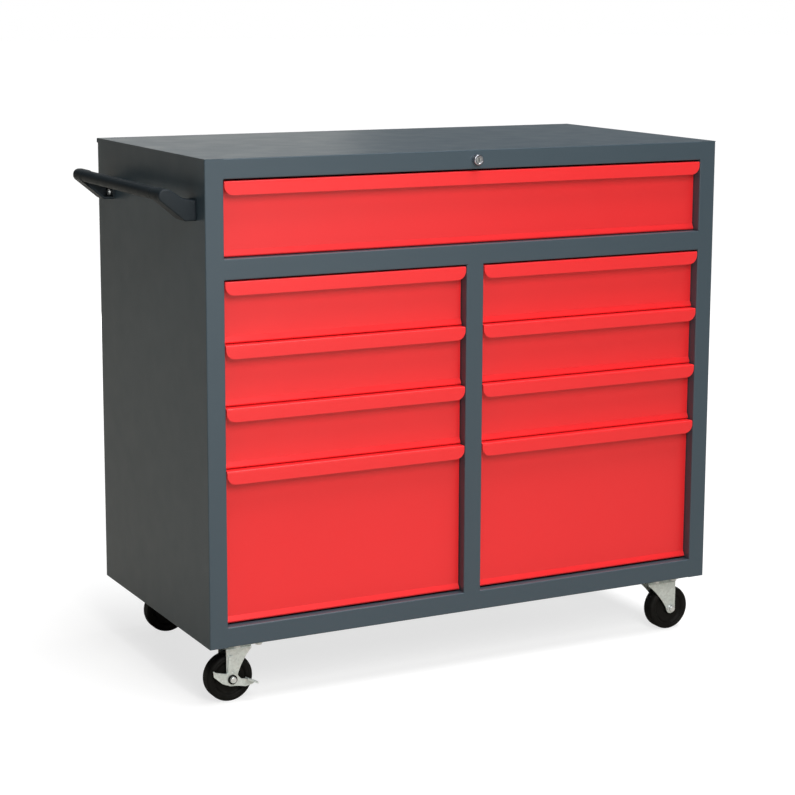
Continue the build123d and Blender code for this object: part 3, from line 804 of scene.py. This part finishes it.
# Push handle.
handle = {
    "reach": 58.0,  # grip's axis out from the side
    "height": 809.5,
    "gripRadius": 11.2,
    "front": 38.0,
    "rear": 492.0,
    "bracketWidth": 40.0,
    # a bracket's outline seen from the front: out from the side, up, the corner's rounding, and
    # minus one where the outline turns inwards
    "outline": [
        (0.0, 763.5, 0.6, 1),
        (0.0, 799.0, 0.6, 1),
        (-22.0, 802.5, 20.0, -1),
        (-50.0, 820.7, 14.0, 1),
        (-69.2, 820.7, 11.1, 1),
        (-69.2, 803.2, 10.5, 1),
        (-21.0, 763.5, 7.0, 1),
    ],
    "leastRound": 0.3,
    "skin": 4.0,
    "roundover": 3.0,
    "rimEdge": 0.6,
    "plugRadius": 10.6,
    "plugBore": 0.4,
    "plugSink": 1.0,  # into the bracket's face
    "plugReach": 12.0,  # past the bracket, inside the grip
    "gripWall": 2.0,
    "gripGap": 0.2,
    "gripChamfer": 0.5,
    "grooveDepth": 0.7,
    "groove": (6.0, 6.8, 8.0, 8.8),  # from the grip's end: slope down, floor, slope up
    "roundSteps": 6,
    "outlineSteps": 8,
    "plugSegments": 40,
    "gripSegments": 64,
    "creaseAngle": 32,
}


# One ring of a bracket: the outline moved in by the inset, at one depth.
def bracketRing(look, depth, inset):
    corners = [(out, up) for out, up, _, _ in look["outline"]]
    radii = [max(r - turn * inset, look["leastRound"]) for _, _, r, turn in look["outline"]]
    ring = roundedPath(insetCorners(corners, -inset), radii, look["outlineSteps"], closed=True)
    return np.column_stack([ring[:, 0], np.full(len(ring), depth), ring[:, 1]])


# A bracket is rings along Y, each with its depth and inset: a face whose edge is a quarter circle
# (inset = r - r cos, depth = r - r sin), the outer side, the rim and the hollow inside. The grip's
# end plug stands in the hollow.
def makeBracket(look, mirror):
    front = look["front"]
    back = front + look["bracketWidth"]
    skin, over, rim = look["skin"], look["roundover"], look["rimEdge"]
    turn = np.linspace(0, math.pi / 2, look["roundSteps"])[::-1]
    rimDepths = [back - rim, back, back, back - rim, front + skin + rim, front + skin]
    rimInsets = [0.0, rim, skin - rim, skin, skin, skin + rim]
    depths = np.concatenate([front + over * (1 - np.sin(turn)), rimDepths])
    insets = np.concatenate([over * (1 - np.cos(turn)), rimInsets])
    grid = np.stack([bracketRing(look, y, inset) for y, inset in zip(depths, insets)])
    start, end = front + skin - look["plugSink"], back + look["plugReach"]
    bore, radius = look["plugBore"], look["plugRadius"]
    plugProfile = [(bore, start), (radius, start), (radius, end), (bore, end)]
    plug = turned(plugProfile, (-look["reach"], 0, look["height"]), look["plugSegments"])
    shells = []
    for points, faces in (gridShell(grid, wrapColumns=True, capEnds=True), plug):
        if mirror:
            points = points * [1, -1, 1] + [0, look["front"] + look["rear"], 0]
            faces = [face[::-1] for face in faces]
        shells.append((points, faces))
    return shells


# The grip is a tube with a chamfer at each end and a shallow ring groove beside each bracket, as
# radius and distance along Y.
def gripProfile(look):
    low = look["front"] + look["bracketWidth"] + look["gripGap"]
    high = look["rear"] - look["bracketWidth"] - look["gripGap"]
    r, chamfer = look["gripRadius"], look["gripChamfer"]
    floor = r - look["grooveDepth"]
    half = [(r - look["gripWall"], low), (r - chamfer, low), (r, low + chamfer)]
    half += [(radius, low + y) for radius, y in zip((r, floor, floor, r), look["groove"])]
    mirrored = [(radius, low + high - y) for radius, y in half[::-1]]
    return half + mirrored


brackets = makeBracket(handle, False) + makeBracket(handle, True)
crease = handle["creaseAngle"]
makePiece("handleBrackets", brackets, "handleBlack", "cabinet", ["handle_brackets"], crease)
gripCentre = (-handle["reach"], 0, handle["height"])
grip = turned(gripProfile(handle), gripCentre, handle["gripSegments"])
makePiece("handleGrip", [grip], "handleBlack", "cabinet", ["handle_grip"], crease)
print("handle made")

# Wheels.
wheel = {
    "radius": 44.45,
    "halfWidth": 15.0,
    "hubHalfWidth": 17.2,
    "hubRadius": 8.6,
    "hubEdge": 1.0,
    "bore": 4.2,
    "boreEdge": 0.4,
    # the side between hub and tread: radius, distance from the middle, rounding
    "side": [
        (10.2, 14.6, 1.2),
        (12.4, 10.4, 2.2),
        (28.5, 9.6, 3.0),
        (31.6, 13.6, 1.6),
        (35.0, 14.6, 0.6),
        (35.7, 13.8, 0.3),
        (36.5, 14.8, 0.6),
    ],
    "shoulder": 6.5,
    "mouldLine": (0.7, 0.25, 0.2),  # half its width, its depth, its edge's rounding
    "roundSteps": 5,
    "segments": 96,
    "creaseAngle": 30,
}


# Half of the wheel's section, as radius and distance from its middle: bore, hub, sloping web, rim,
# seam groove, sidewall, rounded shoulder and a tread with a fine mould line.
def wheelProfile(look):
    r, bore, hub = look["radius"], look["bore"], look["hubHalfWidth"]
    lineHalf, lineDepth, lineEdge = look["mouldLine"]
    corners = np.array(
        [
            (bore, 0, 0),
            (bore, hub, look["boreEdge"]),
            (look["hubRadius"], hub, look["hubEdge"]),
            *look["side"],
            (r, look["halfWidth"], look["shoulder"]),
            (r, lineHalf, lineEdge),
            (r - lineDepth, 0, 0),
        ]
    )
    half = roundedPath(corners[:, :2], corners[:, 2], look["roundSteps"])
    return np.vstack([half[1:], half[1:-1][::-1] * [1, -1]])


for cornerName in ("front_left", "front_right", "rear_left", "rear_right"):
    shell = turned(wheelProfile(wheel), nodeMiddle(f"wheel_{cornerName}"), wheel["segments"])
    makePiece(
        "wheel" + joinedName(cornerName),
        [shell],
        "wheelBlack",
        f"roller_{cornerName}",
        [f"wheel_{cornerName}"],
        creaseAngle=wheel["creaseAngle"],
    )
print("wheels made")

# Lock collar.
lockCollar = {
    "radius": 9.6,
    "proud": 10.0,
    "lip": 1.8,
    "faceWidth": 2.6,
    "faceEdge": 0.5,
    "dish": 1.0,  # the face slopes in by this much down to the bore
    "bore": 5.8,
    "boreEdge": 0.3,
    "barrel": 7.8,
    "barrelEnd": 26.0,
    "seat": 0.1,
    "segments": 64,
    "creaseAngle": 30,
}


# A ring turned about Y, with a rounded lip, a flat face, a dished inner edge and a barrel behind.
def makeLockCollar(look):
    middle = nodeMiddle("lock_housing")
    r, out, seat = look["radius"], look["proud"], look["seat"]
    profile = roundedPath(
        [
            (r, seat),
            (r, -out),
            (r - look["faceWidth"], -out),
            (look["bore"], -out + look["dish"]),
            (look["bore"], look["barrelEnd"]),
            (look["barrel"], look["barrelEnd"]),
            (look["barrel"], seat),
        ],
        [0, look["lip"], look["faceEdge"], look["boreEdge"], 0, 0, 0],
        closed=True,
    )
    shell = turned(profile, (middle[0], 0, middle[2]), look["segments"])
    crease = look["creaseAngle"]
    makePiece("lockCollar", [shell], "lockChrome", "cabinet", ["lock_housing"], crease)


makeLockCollar(lockCollar)

# Black ring round the axle's head where a brake lever turns on it: painted shade, a dark ring
# standing where the head's shaded side and its shadow fall.
axleShadeRing = {
    "headHeight": 7.0,
    "collarHeight": 2.5,
    "proud": 0.4,  # in front of the collar
    "gap": 0.1,  # behind it
    "inner": 6.15,
    "outer": 8.7,
    "lip": 0.5,
    "segments": 48,
    "creaseAngle": 30,
}


# A black ring over the axle's collar, from just in front of it back to the fork or the lever; it
# paints the shade round the head.
def makeAxleShadeRing(cornerName, look):
    middle = nodeMiddle(f"axle_{cornerName}")
    low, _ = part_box(f"axle_{cornerName}")
    head = (low.y - corner[1]) / mm + look["headHeight"]
    front, back = head - look["collarHeight"] - look["proud"], head - look["gap"]
    inner, outer, lip = look["inner"], look["outer"], look["lip"]
    section = [(outer, back), (outer, front), (inner, front), (inner, back)]
    profile = roundedPath(section, [0, lip, lip, 0], closed=True)
    shell = turned(profile, (middle[0], 0, middle[2]), look["segments"])
    name = "axleShadeRing" + joinedName(cornerName)
    makePiece(name, [shell], "wheelBlack", f"swivel_{cornerName}", [], look["creaseAngle"])


for cornerName in ("front_left", "rear_right"):
    makeAxleShadeRing(cornerName, axleShadeRing)
# the axle seals printed below are the black painted-shade rings round the axle heads
print("lock collar and axle seals made")

# Pressed and turned metal, softened from the frame's own shapes.
softEdges = {
    "joinWithin": 0.000002,  # metres between points that become one
    "flatWithin": 0.8,  # degrees between faces that become one
    "creaseAngle": 35,
    "nodes": {
        "fork_": ("zincPressing", 0.45),
        "brake_lever_": ("zincPressing", 0.4),
        "axle_": ("zincFastener", 0.35),
        "caster_plates": ("zincPressing", 0.4),
        "caster_bolts": ("zincFastener", 0.4),
        "handle_screws": ("zincFastener", 0.3),
        "lock_plug": ("lockSteel", 0.25),
    },
}
for start, (finishName, edgeRadius) in softEdges["nodes"].items():
    for nodeName in nodesNamed(start):
        softenNode(nodeName, finishName, edgeRadius, softEdges)
print("metal edges softened")
